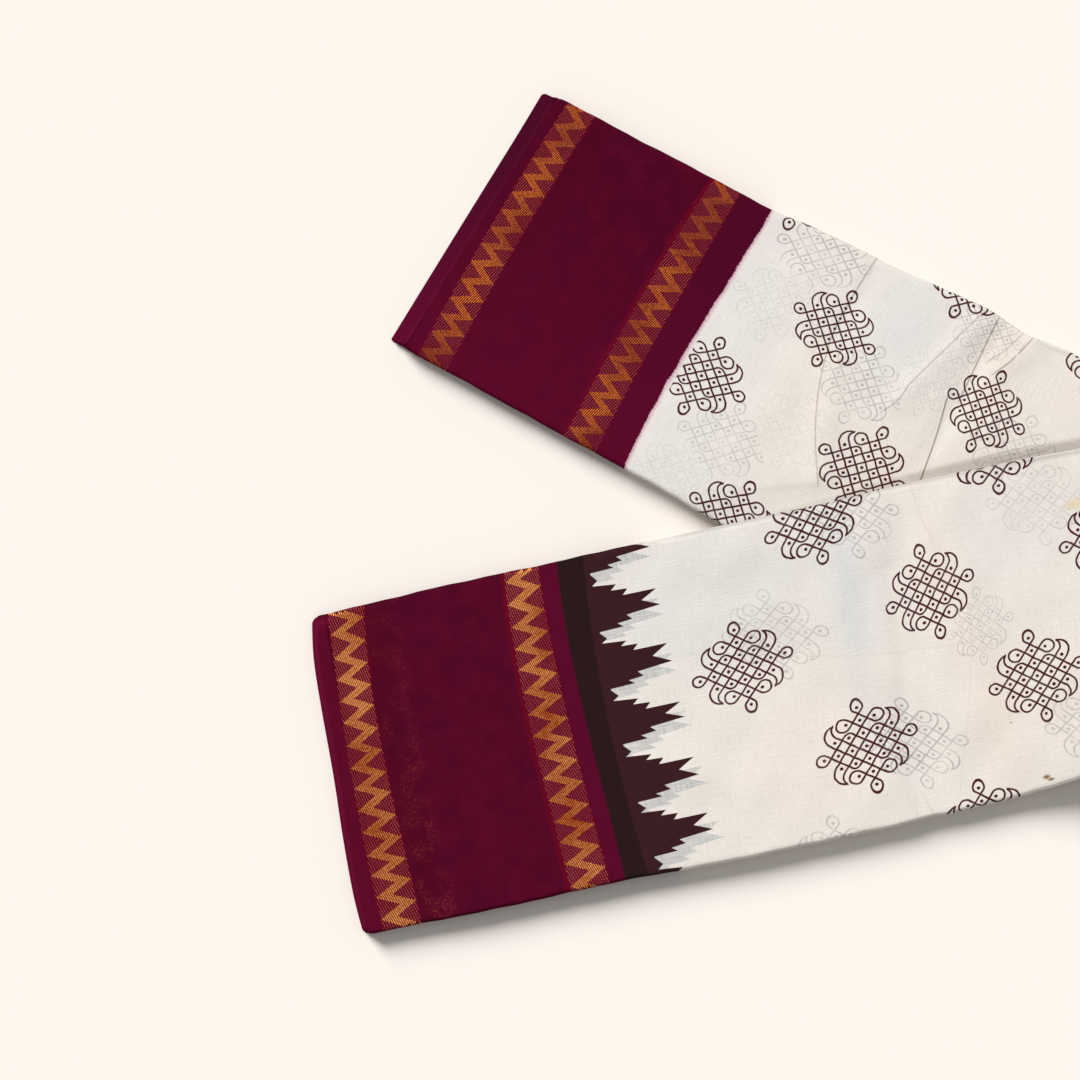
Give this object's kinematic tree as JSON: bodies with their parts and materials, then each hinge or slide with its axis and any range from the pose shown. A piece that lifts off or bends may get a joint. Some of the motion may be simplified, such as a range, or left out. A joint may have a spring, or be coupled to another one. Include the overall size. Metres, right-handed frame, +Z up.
{
  "type": "folded cotton saree",
  "caption": "Cotton saree folded lengthwise into a long flat strip and turned back on itself in a V, with dyed end borders, a dark toothed band and a white printed field.",
  "frame": {"origin": "middle of the footprint, on the surface that the cloth lies on", "axes": "+Z up, out of the surface; +X towards the turn of the strip; +Y from the over arm towards the under arm"},
  "size_m": [0.6551, 0.6046, 0.0263],
  "materials": {
    "dyed_border": "plain-woven cotton dyed deep maroon, with woven bands of gold thread, matt with a faint sheen",
    "dark_band": "plain-woven cotton, dark brown to plum, with a row of stepped teeth, matt",
    "white_field": "thin unbleached-white plain-woven cotton with a printed dot and line motif, matt",
    "layered_cloth": "stacked folds of the same cotton, seen at their edges, matt"
  },
  "bodies": {
    "root": {"under_arm_layers": "layered_cloth", "under_arm_border": "dyed_border", "under_arm_field": "white_field", "turn_layers": "layered_cloth", "turn_leaf": "white_field", "over_arm_layers": "layered_cloth", "over_arm_border": "dyed_border", "over_arm_temple_band": "dark_band", "over_arm_field": "white_field"}
  },
  "joints": []
}
